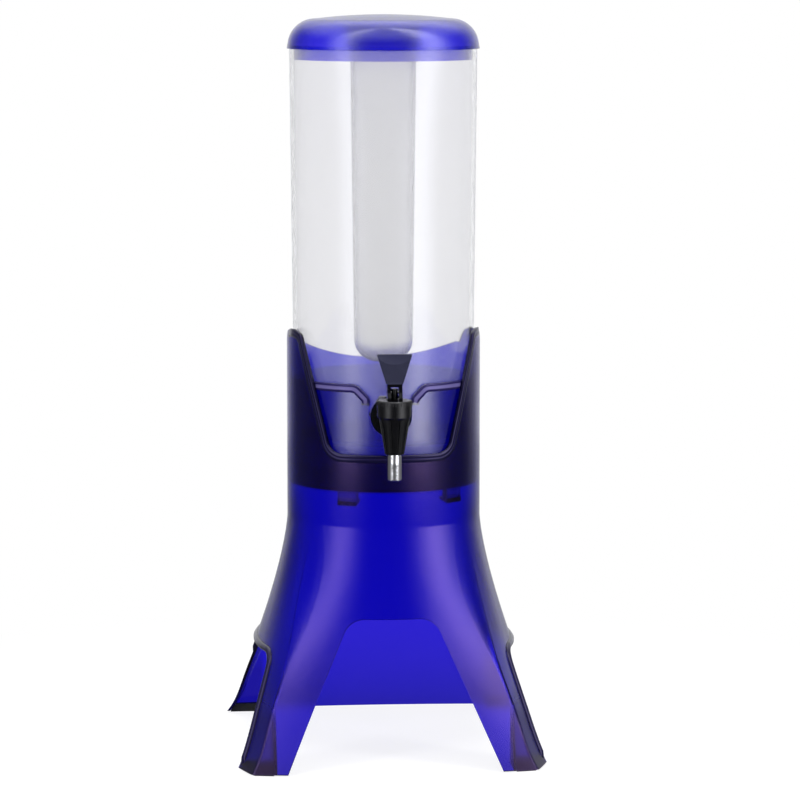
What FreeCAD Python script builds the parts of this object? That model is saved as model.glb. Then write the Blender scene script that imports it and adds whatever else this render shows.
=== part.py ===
"""Beer tower dispenser: a clear three-litre tank with a lever tap, standing in a translucent
flared stand. Millimetres, +Z up, origin on the tower's axis at floor level, tap towards -Y."""
import math
import os

import FreeCAD
import Part
import Sketcher

os.makedirs("parts", exist_ok=True)
doc = FreeCAD.newDocument("beer_tower")
V = FreeCAD.Vector
X_AXIS, Y_AXIS, Z_AXIS = V(1, 0, 0), V(0, 1, 0), V(0, 0, 1)

# ---------------------------------------------------------------- driving dimensions
DIMENSIONS = {
    # clearances, each named once
    "seat_gap": 0.05,            # a piece standing on another
    "running_gap": 0.05,         # radial, round a shaft or a pin
    "loose_gap": 0.3,            # radial, between pieces that lift apart
    # stand
    "foot_half_width": 121.0,    # of the side walls' bow at the floor, were they not arched
    "foot_rear_depth": 115.5,
    "foot_front_depth": 118.0,
    "foot_corner": 4.0,
    "pad_drop": 1.0,             # how far the rubber pads stand out below the shell
    "pad_height": 6.0,
    "pad_setback": 1.5,          # from the side arch to a pad
    "toe_edge": 84.0,            # outer face of the rib that closes off a toe
    "toe_height": 42.0,
    "collar_radius": 68.7,
    "shoulder_height": 165.0,
    "horn_height": 300.4,
    "horn_curl": 10.4,           # how much of the horn's top leans in over the tank
    "horn_curl_radius": 36.0,
    "horn_tip_wall": 1.7,
    "horn_round": 5.0,
    "horn_front": 22.0,          # the horn's highest point, in front of the axis
    "horn_rear": 16.0,
    "horn_fall": 5.0,            # how much lower the horn's rear corner is
    "horn_heel": 28.0,
    "horn_heel_radius": 20.0,
    "shell_wall": 2.2,
    "front_arch_height": 103.0,
    "front_arch_foot": 75.0,
    "front_arch_top": 29.4,
    "front_arch_corner": 16.0,
    "side_arch_height": 74.0,
    "side_arch_front": 86.0,
    "side_arch_rear": 101.0,
    "side_arch_top": 50.0,
    "side_arch_corner": 16.0,
    "bay_height": 215.9,         # bottom of the bay that the tap stands in
    "bay_foot": 43.0,
    "bay_top": 60.5,
    "bay_corner": 10.0,
    "back_dip_height": 270.3,
    "back_dip_radius": 125.0,
    "back_dip_half": 58.0,
    "back_dip_top": 64.6,
    # cradle cup
    "cup_wall": 1.8,
    "cup_floor": 2.0,
    "cup_base_height": 190.0,
    "cup_rim_height": 265.0,
    "lug_height": 5.4,
    "lug_width": 14.0,
    "lug_depth": 4.0,
    "ledge_thickness": 5.0,
    "ledge_depth": 7.0,
    "lug_angle": 35.0,           # from the front and from the back
    "lug_turn": 8.0,             # how far the whole ring of lugs is turned
    "drain_radius": 10.0,
    "notch_half_top": 24.0,
    "notch_gap": 0.8,
    # tank
    "tank_rim_height": 496.2,
    "tank_cup_gap": 1.2,         # radial, between the tank's foot and the cup
    "tank_draft": 3.1,           # the rim's radius less the foot's
    "tank_wall": 3.0,
    "tank_floor_rise": 32.45,    # the raised floor's top above the tank's foot
    "tank_floor_thickness": 3.0,
    # tap: heights are from the shank's axis
    "tap_rise": 19.2,            # the shank's axis above the tank's floor
    "tap_standoff": 34.3,        # the tap's axis in front of the tank's wall
    "shank_radius": 7.8,
    "shank_bore": 4.5,
    "shank_past_nut": 3.2,
    "flange_rim": 6.5,
    "flange_thickness": 3.0,
    "washer_wall": 2.5,
    "nut_thickness": 7.0,
    "nut_wall": 4.7,
    "barrel_above": 11.3,
    "barrel_below": 22.2,
    "barrel_foot_radius": 6.4,
    "barrel_collar_radius": 12.0,
    "barrel_collar_height": 7.4,
    "rib_inset": 0.5,
    "rib_thickness": 1.6,
    "chamber_radius": 7.0,
    "seat_below": 12.7,
    "bonnet_overhang": 0.1,
    "bonnet_brim": 3.85,
    "bonnet_plate": 3.6,
    "bonnet_plug_radius": 8.8,
    "bonnet_plug_wall": 2.0,
    "bonnet_plug_depth": 5.5,
    "spout_radius": 4.85,
    "spout_wall": 0.9,
    "spout_grip": 7.5,           # how deep the spout sits in the barrel
    "spout_step": 0.3,           # the gripped end's radius less than the spout's
    "spout_neck": 1.0,           # how far the thinner end shows below the barrel
    "spout_length": 18.1,        # how far it stands out below
    "stem_radius": 2.4,
    "stem_collar_radius": 5.0,
    "stem_collar_above": 1.7,
    "stem_collar_height": 1.4,
    "stem_disc_radius": 4.2,
    "stem_disc_height": 1.6,
    "stem_seal_radius": 3.8,
    "stem_seal_height": 1.6,
    "seat_cup_rim": 2.0,
    "seat_cup_base": 2.35,
    "seat_cup_height": 6.6,
    "pin_above_bonnet": 5.5,
    "pin_radius": 1.2,
    "spring_wire": 0.7,
    "spring_radius": 4.5,
    "spring_turns": 4.0,
    "lever_neck_width": 10.4,
    "lever_toe": 7.0,
    "lever_heel": 4.5,
    "lever_gap": 0.15,
    "lever_neck_height": 11.4,   # the paddle's foot above the bonnet
    "paddle_height": 20.0,
    "paddle_foot_width": 11.6,
    "paddle_top_width": 24.1,
    "paddle_thickness": 5.0,
    "scoop_radius": 40.0,
    "scoop_depth": 2.2,
    "scoop_above": 9.0,
    # lid and ice tube: heights are from the tank's rim
    "lid_rise": 23.8,
    "lid_overhang": 1.7,
    "lid_wall": 2.2,
    "lid_crown_inset": 20.0,     # where the crown meets the shoulder, in from the flange
    "lid_crown_radius": 400.0,
    "lid_shoulder_drop": 18.0,
    "lid_shoulder_radius": 19.3,
    "lid_draft": 1.0,
    "plug_depth": 7.5,
    "plug_wall": 2.0,
    "ice_top_radius": 23.4,
    "ice_draft": 2.5,
    "ice_wall": 1.8,
    "ice_floor_gap": 50.3,       # the ice tube's foot above the tank's floor
    "ice_foot_corner": 16.0,
    "ice_top_rise": 14.8,
    "socket_depth": 11.0,
    "socket_wall": 2.4,
    "seal_height": 1.6,
}

sheet = doc.addObject("Spreadsheet::Sheet", "Dims")
for row, (alias, number) in enumerate(DIMENSIONS.items(), start=1):
    sheet.set(f"A{row}", alias.replace("_", " "))
    sheet.set(f"B{row}", str(number))
    sheet.setAlias(f"B{row}", alias)
doc.recompute()


class Size(float):
    """A length that carries its own formula, so that a feature can be bound to the sheet."""

    def __new__(cls, number, formula=None):
        size = float.__new__(cls, number)
        size.formula = formula or f"{float(number):.9g}"
        return size

    def _with(self, sign, other, number, flipped=False):
        first, second = Size.of(self), Size.of(other)
        if flipped:
            first, second = second, first
        return Size(number, f"({first.formula} {sign} {second.formula})")

    @staticmethod
    def of(number):
        return number if isinstance(number, Size) else Size(number)

    def __add__(self, other):
        return self._with("+", other, float(self) + float(other))

    def __radd__(self, other):
        return self._with("+", other, float(other) + float(self), flipped=True)

    def __sub__(self, other):
        return self._with("-", other, float(self) - float(other))

    def __rsub__(self, other):
        return self._with("-", other, float(other) - float(self), flipped=True)

    def __mul__(self, other):
        return self._with("*", other, float(self) * float(other))

    def __rmul__(self, other):
        return self._with("*", other, float(other) * float(self), flipped=True)

    def __truediv__(self, other):
        return self._with("/", other, float(self) / float(other))

    def __rtruediv__(self, other):
        return self._with("/", other, float(other) / float(self), flipped=True)

    def __neg__(self):
        return Size(-float(self), f"(0 - {self.formula})")


def root(size):
    """A square root that keeps its formula."""
    return Size(math.sqrt(size), f"sqrt({Size.of(size).formula})")


class Sheet:
    """The sheet's cells by name, as sizes: d.tank_wall."""

    def __getattr__(self, alias):
        return Size(sheet.get(alias), f"Dims.{alias}")


d = Sheet()

# Sizes that several pieces share, each worked out once.
cup_outer = d.collar_radius - d.shell_wall - d.loose_gap
cup_inner = cup_outer - d.cup_wall
tank_foot_radius = cup_inner - d.tank_cup_gap
tank_rim_radius = tank_foot_radius + d.tank_draft
tank_foot = d.cup_base_height + d.cup_floor + d.seat_gap
tank_floor = tank_foot + d.tank_floor_rise
tap_height = tank_floor + d.tap_rise
tank_at_tap = tank_foot_radius + d.tank_draft * (tap_height - tank_foot) / (
    d.tank_rim_height - tank_foot)
tap_reach = tank_at_tap + d.tap_standoff
flange_radius = d.shank_radius + d.flange_rim
flange_back = tank_at_tap + d.washer_wall
nut_face = tank_at_tap - d.tank_wall - d.washer_wall
barrel_top = tap_height + d.barrel_above
barrel_foot = tap_height - d.barrel_below
seat_height = tap_height - d.seat_below
plug_foot = barrel_top - d.bonnet_plug_depth
bonnet_top = barrel_top + d.bonnet_brim
bonnet_ceiling = bonnet_top - d.bonnet_plate
collar_foot = tap_height + d.stem_collar_above
disc_foot = seat_height + d.seat_cup_base
pin_height = bonnet_top + d.pin_above_bonnet
paddle_foot = bonnet_top + d.lever_neck_height
lid_radius = tank_rim_radius + d.lid_overhang
ice_top = d.tank_rim_height + d.ice_top_rise


# ---------------------------------------------------------------- modelling helpers
def bind(thing, **sizes):
    """Bind properties of a document object to formulas, property by property."""
    for name, size in sizes.items():
        thing.setExpression(name.replace("__", "."), Size.of(size).formula)
    return thing


def lift(thing, x=0, y=0, z=0):
    """Bind where an object stands."""
    return bind(thing, Placement__Base__x=x, Placement__Base__y=y, Placement__Base__z=z)


def arc_between(start, end, radius):
    """An arc from start to end; a positive radius bulges to the left of the way there."""
    chord = end.sub(start)
    side = V(-chord.y, chord.x, 0).normalize() * math.copysign(1, radius)
    depth = math.sqrt(max(radius * radius - chord.Length ** 2 / 4, 0))
    centre = (start + end) * 0.5 - side * depth
    angles = [math.atan2(p.y - centre.y, p.x - centre.x) for p in (start, end)]
    if radius > 0:
        angles.reverse()
    return Part.ArcOfCircle(Part.Circle(centre, Z_AXIS, abs(radius)), *angles)


def outline(sketch, corners):
    """Draw a closed outline and bind each corner. A corner is (x, y), or (x, y, radius) when
    the edge that leaves it is an arc."""
    points = [V(float(c[0]), float(c[1]), 0) for c in corners]
    ends = []
    for number, corner in enumerate(corners):
        start, end = points[number], points[(number + 1) % len(points)]
        if len(corner) == 3:
            edge = sketch.addGeometry(arc_between(start, end, float(corner[2])), False)
            forward = sketch.Geometry[edge].StartPoint.sub(start).Length < 1e-6
            ends.append((edge, 1, 2) if forward else (edge, 2, 1))
        else:
            edge = sketch.addGeometry(Part.LineSegment(start, end), False)
            ends.append((edge, 1, 2))
    for number, (edge, first, last) in enumerate(ends):
        following, next_first, _ = ends[(number + 1) % len(ends)]
        sketch.addConstraint(Sketcher.Constraint("Coincident", edge, last, following, next_first))
        x, y = corners[number][0], corners[number][1]
        for kind, size in (("DistanceX", x), ("DistanceY", y)):
            rule = sketch.addConstraint(
                Sketcher.Constraint(kind, -1, 1, edge, first, float(size)))
            sketch.setExpression(f"Constraints[{rule}]", Size.of(size).formula)
        if len(corners[number]) == 3:
            radius = corners[number][2]
            rule = sketch.addConstraint(Sketcher.Constraint("Radius", edge, abs(float(radius))))
            size = Size.of(radius if radius > 0 else -radius)
            sketch.setExpression(f"Constraints[{rule}]", size.formula)


def body_sketch(body, plane, name):
    """A sketch on one of the body's origin planes."""
    sketch = body.newObject("Sketcher::SketchObject", name)
    support = next(f for f in body.Origin.OriginFeatures if f.Role == plane)
    sketch.AttachmentSupport = [(support, "")]
    sketch.MapMode = "FlatFace"
    return sketch


def turned(label, corners):
    """A body turned about its own Z axis from an outline of (radius, height) corners."""
    body = doc.addObject("PartDesign::Body", label)
    sketch = body_sketch(body, "XZ_Plane", label + "_profile")
    outline(sketch, corners)
    turn = body.newObject("PartDesign::Revolution", label + "_turn")
    turn.Profile = sketch
    turn.ReferenceAxis = (sketch, ["V_Axis"])
    turn.Angle = 360
    body.Tip = turn
    return body


def prism(label, corners, start, end, facing="Y"):
    """A straight prism of an outline. Facing Y the outline is (x, z), facing X it is (y, z),
    facing Z it is (x, y); it runs from start to end along that axis."""
    sketch = doc.addObject("Sketcher::SketchObject", label + "_profile")
    turns = {"Y": FreeCAD.Rotation(X_AXIS, 90), "Z": FreeCAD.Rotation(),
             "X": FreeCAD.Rotation(Z_AXIS, 90).multiply(FreeCAD.Rotation(X_AXIS, 90))}
    axis = {"X": X_AXIS, "Y": Y_AXIS, "Z": Z_AXIS}[facing]
    sketch.Placement = FreeCAD.Placement(V(), turns[facing])
    lift(sketch, **{facing.lower(): start})
    outline(sketch, corners)
    block = doc.addObject("Part::Extrusion", label)
    block.Base = sketch
    block.DirMode = "Custom"
    block.Dir = axis
    block.Solid = True
    return bind(block, LengthFwd=end - start)


def rod(label, radius, length, x=0, y=0, z=0, along=Z_AXIS):
    """A cylinder from a point along an axis."""
    cylinder = doc.addObject("Part::Cylinder", label)
    cylinder.Placement = FreeCAD.Placement(V(), FreeCAD.Rotation(Z_AXIS, along))
    return lift(bind(cylinder, Radius=radius, Height=length), x, y, z)


def fused(label, *pieces):
    joined = doc.addObject("Part::MultiFuse", label)
    joined.Shapes = list(pieces)
    joined.Refine = True
    return joined


def cut(label, base, tool):
    rest = doc.addObject("Part::Cut", label)
    rest.Base = base
    rest.Tool = tool
    rest.Refine = True
    return rest


def common(label, *pieces):
    shared = doc.addObject("Part::MultiCommon", label)
    shared.Shapes = list(pieces)
    return shared


# ---------------------------------------------------------------- stand
def flare_quarter(half_width, half_depth, corner, bow_side, bow_end):
    """A quarter of the flare's outline as (centre x, centre y, radius, start, end): half the
    side's bow, the corner, half the end's bow, each tangent to the next."""
    wide, deep = half_width - corner, half_depth - corner
    sine, rise = math.sin(bow_side), 1 - math.cos(bow_side)
    sine_end, rise_end = math.sin(bow_end), 1 - math.cos(bow_end)
    share = sine * sine_end - rise * rise_end
    side = corner + (deep * sine_end - wide * rise_end) / share
    end = corner + (wide * sine - deep * rise) / share
    quarter = math.pi / 2
    return [(half_width - side, 0, side, 0, bow_side),
            ((end - corner) * sine_end, (side - corner) * sine, corner, bow_side, quarter - bow_end),
            (0, half_depth - end, end, quarter - bow_end, quarter)]


def flare_section(height, inset):
    """The flare's outline at a height: a circle at the shoulder that turns into four bowed faces
    below it. Its corners are soft at the shoulder and sharpen into the ridges of the feet."""
    collar, foot_corner = float(d.collar_radius), float(d.foot_corner)
    drop = float((d.shoulder_height - height) / (d.shoulder_height - d.pad_drop))
    half_width = collar + float(d.foot_half_width - collar) * drop ** 1.38 - inset
    softness = (1 + math.cos(math.pi * min(drop / 0.68, 1))) / 2
    corner = foot_corner + (collar - foot_corner) * softness - inset
    soft_bow = 43
    rear, front = (
        flare_quarter(half_width, collar + float(reach - collar) * drop ** 1.3 - inset, corner,
                      math.radians(soft_bow - side * math.sqrt(drop)), math.radians(soft_bow - end * drop))
        for reach, side, end in ((d.foot_rear_depth, 29, 38), (d.foot_front_depth, 21, 33)))
    arcs = []
    for sign_x, sign_y, quarter in ((1, 1, rear), (-1, 1, rear), (-1, -1, front), (1, -1, front)):
        forward = sign_x == sign_y
        for x, y, radius, start, end in quarter if forward else reversed(quarter):
            turns = (start, (start + end) / 2, end) if forward else (end, (start + end) / 2, start)
            arcs.append(Part.Arc(*[
                V(sign_x * (x + radius * math.cos(turn)), sign_y * (y + radius * math.sin(turn)), height)
                for turn in turns]).toShape())
    return Part.Wire(arcs)


def flare_solid(inset):
    """The flare filled in, its surface moved inwards by an inset."""
    span = float(d.shoulder_height - d.pad_drop)
    heights = [float(d.pad_drop) + span * share for share in (0, 0.2, 0.4, 0.55, 0.68, 0.8, 0.91, 1)]
    return Part.makeLoft([flare_section(z, float(inset)) for z in heights], True, False)


def foot_boxes(inner_x, outer_x, gap, height, bottom=0):
    """A box for each foot, between two distances from the middle and outside the side arch,
    the front feet first."""
    for sign_x, sign_y in ((-1, -1), (1, -1), (1, 1), (-1, 1)):
        start = float(gap + (d.side_arch_rear if sign_y > 0 else d.side_arch_front))
        low_x, low_y = min(sign_x * inner_x, sign_x * outer_x), min(sign_y * start, sign_y * 200)
        yield Part.makeBox(outer_x - inner_x, 200 - start, height - bottom, V(low_x, low_y, bottom))


def toe_ribs(cavity):
    """The upright rib that closes off each front foot's toe, inside the flare."""
    edge, height = float(d.toe_edge), float(d.toe_height)
    return [box.common(cavity)
            for box in list(foot_boxes(edge - float(d.shell_wall), edge, 0, height))[:2]]


def turned_copy(label, piece, angle):
    """A piece turned about the Z axis."""
    copy = doc.addObject("Part::Compound", label)
    copy.Links = [piece]
    copy.Placement = FreeCAD.Placement(V(), FreeCAD.Rotation(Z_AXIS, angle))
    return copy


def lug_bars(label, bottom, top):
    """Two crossed bars that pick the four lug places out of a ring."""
    bars = []
    for side, angle in (("left", d.lug_turn + d.lug_angle), ("right", d.lug_turn - d.lug_angle)):
        bar = prism(f"{label}_{side}", [
            (-d.lug_width / 2, bottom), (d.lug_width / 2, bottom), (d.lug_width / 2, top),
            (-d.lug_width / 2, top)], -d.collar_radius, d.collar_radius)
        bars.append(turned_copy(f"{label}_{side}_turned", bar, float(angle)))
    return fused(label, *bars)


def arch_side(foot, top, height, corner):
    """One side of an arch's outline, from below the floor up round its upper corner."""
    lean, below = (foot - top) / height, 5
    slant = root(1 + lean * lean)
    run = corner * (slant - lean)
    return [(foot + lean * below, -below), (top + run * lean / slant, height - run / slant),
            (top - run, height)]


def arch(label, feet, top, height, corner, start, end, facing):
    """The prism that cuts an arch: leaning sides and rounded upper corners. The feet are the
    sides' reaches at the floor, the near (negative) side first."""
    near, far = (arch_side(foot, top, height, corner) for foot in feet)
    return prism(label, [
        (-near[0][0], near[0][1]), far[0], (*far[1], -corner), far[2],
        (-near[2][0], near[2][1], -corner), (-near[1][0], near[1][1])], start, end, facing)


def make_base_shell():
    """The one-piece shell: flare on four feet, collar and the two horns beside the tap bay."""
    cavity = flare_solid(d.shell_wall)
    flare = doc.addObject("Part::Feature", "flare")
    flare.Shape = flare_solid(0).cut(cavity).multiFuse(toe_ribs(cavity))
    inner, horn_top = d.collar_radius - d.shell_wall, d.horn_height
    curl_foot, curl = horn_top - d.horn_curl, d.horn_curl_radius
    tip = d.collar_radius - curl + root(curl * curl - d.horn_curl * d.horn_curl)
    collar = turned("collar", [
        (inner, d.shoulder_height), (d.collar_radius, d.shoulder_height),
        (d.collar_radius, curl_foot, -curl), (tip, horn_top), (tip - d.horn_tip_wall, horn_top),
        (inner, curl_foot)])
    ledge_top = d.cup_base_height - d.lug_height - d.seat_gap
    ledge_foot = ledge_top - d.ledge_thickness
    ring = turned("ledge_ring", [
        (inner - d.ledge_depth, ledge_foot + 3), (inner + d.shell_wall / 2, ledge_foot),
        (inner + d.shell_wall / 2, ledge_top), (inner - d.ledge_depth, ledge_top)])
    ledges = common("ledges", ring, lug_bars("ledge_bars", ledge_foot - 1, ledge_top + 1))
    knee, bend, turn = d.bay_foot - d.bay_corner, d.bay_height + d.bay_corner, d.horn_round
    bay = prism("tap_bay", [
        (-knee, d.bay_height), (knee, d.bay_height, -d.bay_corner),
        (d.bay_foot, bend), (d.bay_top, horn_top - turn, turn), (d.bay_top + turn, horn_top),
        (d.bay_top + turn, horn_top + 1), (-d.bay_top - turn, horn_top + 1),
        (-d.bay_top - turn, horn_top, turn), (-d.bay_top, horn_top - turn),
        (-d.bay_foot, bend, -d.bay_corner)],
        -d.collar_radius - 5, 0)
    dip_side = d.back_dip_height + d.back_dip_radius - root(
        d.back_dip_radius * d.back_dip_radius - d.back_dip_half * d.back_dip_half)
    dip = prism("back_dip", [
        (-d.back_dip_half, dip_side, -d.back_dip_radius), (d.back_dip_half, dip_side),
        (d.back_dip_top, horn_top + 1), (-d.back_dip_top, horn_top + 1)],
        0, d.collar_radius + 5)
    behind, heel = d.collar_radius + 5, dip_side + 0.2
    fall = prism("horn_fall", [
        (-d.horn_front, horn_top), (d.horn_rear, horn_top - d.horn_fall, d.horn_heel_radius),
        (d.horn_heel, heel), (behind, heel), (behind, horn_top + 1),
        (-d.horn_front, horn_top + 1)], -behind, behind, "X")
    front_arch = arch("front_arch", (d.front_arch_foot, d.front_arch_foot), d.front_arch_top,
                      d.front_arch_height, d.front_arch_corner, -d.foot_front_depth - 5,
                      -d.collar_radius / 2, "Y")
    side_arch = arch("side_arch", (d.side_arch_front, d.side_arch_rear), d.side_arch_top,
                     d.side_arch_height, d.side_arch_corner, -d.foot_half_width - 5,
                     d.foot_half_width + 5, "X")
    whole = fused("shell_walls", flare, collar, ledges)
    return cut("base_shell", whole,
               fused("shell_openings", bay, dip, fall, front_arch, side_arch))


def make_foot_pads():
    """Four rubber pads in the toes of the feet, the front ones outside the ribs."""
    inset, gap = float(d.shell_wall + 2 * d.seat_gap), float(d.seat_gap)
    drop, height = float(d.pad_drop), float(d.pad_height)
    sole = Part.Face(flare_section(drop, inset)).extrude(V(0, 0, -drop))
    slab = Part.makeBox(400, 400, height, V(-200, -200, 0))
    block = flare_solid(inset).common(slab).fuse(sole)
    pads = doc.addObject("Part::Feature", "foot_pads")
    pads.Shape = Part.Compound([
        block.common(box).removeSplitter()
        for box in foot_boxes(float(d.toe_edge) + gap, 200, float(d.pad_setback), height, -drop)])
    return pads


def make_cradle_cup():
    """The translucent cup inside the collar: it carries the tank and clears the tap."""
    outer, inner = cup_outer, cup_inner
    base, rim = d.cup_base_height, d.cup_rim_height
    bowl = turned("cup_bowl", [
        (d.drain_radius, base), (outer, base), (outer, rim), (inner, rim),
        (inner, base + d.cup_floor), (d.drain_radius, base + d.cup_floor)])
    lug_ring = turned("lug_ring", [
        (outer - d.lug_depth, base - d.lug_height), (outer, base - d.lug_height),
        (outer, base + d.cup_floor / 2), (outer - d.lug_depth, base + d.cup_floor / 2)])
    lugs = common("lugs", lug_ring,
                  lug_bars("lug_bars", base - d.lug_height - 1, base + d.cup_floor))
    slot = flange_radius + d.notch_gap
    knee = rim - (d.notch_half_top - slot)
    notch = prism("tap_notch", [
        (-d.notch_half_top - 1, rim + 1), (-slot, knee), (-slot, tap_height, -slot),
        (0, tap_height - slot, -slot), (slot, tap_height), (slot, knee),
        (d.notch_half_top + 1, rim + 1)],
        -d.collar_radius, -d.collar_radius / 2)
    return cut("cradle_cup", fused("cup_walls", bowl, lugs), notch)


# ---------------------------------------------------------------- tank
def tank_radius(height):
    """The tank's drafted outside at a height."""
    share = (height - tank_foot) / (d.tank_rim_height - tank_foot)
    return tank_foot_radius + d.tank_draft * share


def make_tank_tube():
    """The clear drafted tank with its raised floor and the hole for the tap's shank."""
    rim, wall, underside = d.tank_rim_height, d.tank_wall, tank_floor - d.tank_floor_thickness
    walls = turned("tank_walls", [
        (tank_foot_radius - wall, tank_foot), (tank_foot_radius, tank_foot),
        (tank_rim_radius, rim), (tank_rim_radius - wall, rim),
        (tank_radius(tank_floor) - wall, tank_floor), (0, tank_floor),
        (0, underside), (tank_radius(underside) - wall, underside)])
    hole = rod("shank_hole", d.shank_radius + d.loose_gap, tank_rim_radius,
               z=tap_height, along=-Y_AXIS)
    return cut("tank_tube", walls, hole)


def tank_cone(label, inset):
    """The tank's outside, moved in by an inset, as a solid to seat curved washers on."""
    cone = doc.addObject("Part::Cone", label)
    bind(cone, Radius1=tank_foot_radius - inset, Radius2=tank_rim_radius - inset,
         Height=d.tank_rim_height - tank_foot)
    return lift(cone, z=tank_foot)


# ---------------------------------------------------------------- tap
def shank_way(label):
    """The hole that lets the shank through a washer or the nut."""
    return rod(label, d.shank_radius + d.running_gap, tap_reach, z=tap_height, along=-Y_AXIS)


def make_outer_washer():
    disc = rod("outer_washer_disc", flange_radius - 0.5, d.flange_thickness * 2,
               y=-flange_back + d.running_gap, z=tap_height, along=Y_AXIS)
    seat = tank_cone("outer_washer_cone", -d.running_gap)
    return cut("outer_washer", disc, fused("outer_washer_seat", shank_way("outer_way"), seat))


def make_inner_washer():
    disc = rod("inner_washer_disc", flange_radius - 1.3, d.washer_wall * 2,
               y=-nut_face, z=tap_height, along=-Y_AXIS)
    seat = tank_cone("inner_washer_cone", d.tank_wall + d.running_gap)
    return cut("inner_washer", common("inner_washer_blank", disc, seat), shank_way("inner_way"))


def make_shank_nut():
    """The six-sided nut that clamps the tap to the tank from inside."""
    blank = doc.addObject("Part::Prism", "nut_blank")
    blank.Polygon = 6
    blank.Placement = FreeCAD.Placement(V(), FreeCAD.Rotation(Z_AXIS, Y_AXIS))
    flat_radius = d.shank_radius + d.nut_wall
    bind(blank, Circumradius=flat_radius * 2 / root(3), Height=d.nut_thickness)
    lift(blank, y=-nut_face + d.running_gap, z=tap_height)
    return cut("shank_nut", blank, shank_way("nut_way"))


def at_tap(thing):
    return lift(thing, y=-tap_reach)


def make_tap_body():
    """The black moulded body: drafted, ribbed barrel, flange and hollow shank."""
    collar, foot = d.barrel_collar_radius, d.barrel_foot_radius
    collar_edge = barrel_top - d.barrel_collar_height
    barrel = at_tap(turned("barrel", [
        (0, barrel_foot), (foot, barrel_foot), (collar - 3, collar_edge - 6),
        (collar - 1.5, collar_edge - 1.5), (collar, collar_edge), (collar, barrel_top),
        (0, barrel_top)]))
    ribs = []
    rib_top, rib_foot = collar_edge - 1.5, barrel_foot + 0.6
    rib_radius = collar - d.rib_inset
    for number in range(4):
        rib = prism(f"rib_{number + 1}", [
            (-foot - 0.4, rib_foot), (foot + 0.4, rib_foot), (rib_radius - 0.6, rib_top),
            (0.6 - rib_radius, rib_top)], -d.rib_thickness / 2, d.rib_thickness / 2)
        ribs.append(at_tap(turned_copy(f"rib_pair_{number + 1}", rib, 22.5 + 45 * number)))
    shank_end = nut_face - d.nut_thickness - d.shank_past_nut
    shank = rod("shank", d.shank_radius, tap_reach - shank_end, y=-tap_reach, z=tap_height,
                along=Y_AXIS)
    flange = rod("flange", flange_radius, d.flange_thickness,
                 y=-flange_back - d.flange_thickness, z=tap_height, along=Y_AXIS)
    inlet = rod("inlet", d.shank_bore, tap_reach, y=-tap_reach, z=tap_height, along=Y_AXIS)
    grip = d.spout_radius - d.spout_step + d.running_gap
    seat_bore = d.spout_radius - d.spout_wall
    plug = d.bonnet_plug_radius + d.running_gap
    passages = at_tap(turned("passages", [
        (0, barrel_foot - 1), (grip, barrel_foot - 1), (grip, barrel_foot + d.spout_grip),
        (seat_bore, barrel_foot + d.spout_grip), (seat_bore, seat_height),
        (d.chamber_radius, seat_height), (d.chamber_radius, plug_foot - d.seat_gap),
        (plug, plug_foot - d.seat_gap), (plug, barrel_top + 1), (0, barrel_top + 1)]))
    return cut("tap_body", fused("tap_outside", barrel, shank, flange, *ribs),
               fused("tap_hollow", inlet, passages))


def make_spout_tube():
    """The bright metal spout pressed into the foot of the barrel: a thinner end that the barrel
    grips, and a rounded mouth."""
    top, foot = barrel_foot + d.spout_grip - d.running_gap, barrel_foot - d.spout_length
    outer, inner, lip = d.spout_radius, d.spout_radius - d.spout_wall, d.spout_wall * 0.8
    gripped, shoulder = outer - d.spout_step, barrel_foot - d.spout_neck
    return at_tap(turned("spout_tube", [
        (inner, foot), (outer - lip, foot, -lip), (outer, foot + lip), (outer, shoulder),
        (gripped, shoulder), (gripped, top), (inner, top)]))


def make_tap_bonnet():
    """The screwed cap that plugs the barrel and guides the stem."""
    plug, hole = d.bonnet_plug_radius, d.stem_radius + d.running_gap
    rim, brim, edge = d.barrel_collar_radius + d.bonnet_overhang, barrel_top + d.seat_gap, 0.8
    seal_top = bonnet_ceiling + d.stem_seal_height
    return at_tap(turned("tap_bonnet", [
        (plug - d.bonnet_plug_wall, plug_foot), (plug, plug_foot), (plug, brim), (rim, brim),
        (rim, bonnet_top - edge), (rim - edge, bonnet_top), (hole, bonnet_top),
        (hole, seal_top), (d.stem_seal_radius, seal_top), (d.stem_seal_radius, bonnet_ceiling),
        (plug - d.bonnet_plug_wall, bonnet_ceiling)]))


def make_stem_seal():
    inner, outer = d.stem_radius + d.running_gap, d.stem_seal_radius - d.running_gap
    top = bonnet_ceiling + d.stem_seal_height - d.running_gap
    return at_tap(turned("stem_seal", [
        (inner, bonnet_ceiling), (outer, bonnet_ceiling), (outer, top), (inner, top)]))


def make_tap_stem():
    """The stem: the disc in the seat cup, the spring's collar and the eye for the pin."""
    disc, collar, shaft = d.stem_disc_radius, d.stem_collar_radius, d.stem_radius
    disc_top, collar_top = disc_foot + d.stem_disc_height, collar_foot + d.stem_collar_height
    top = pin_height + shaft
    rod_body = at_tap(turned("stem_rod", [
        (0, disc_foot), (disc, disc_foot), (disc, disc_top), (shaft, disc_top),
        (shaft, collar_foot), (collar, collar_foot), (collar, collar_top),
        (shaft, collar_top), (shaft, top), (0, top)]))
    eye = rod("stem_eye", d.pin_radius + d.running_gap / 2, 4 * shaft,
              x=-2 * shaft, y=-tap_reach, z=pin_height, along=X_AXIS)
    return cut("tap_stem", rod_body, eye)


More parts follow.
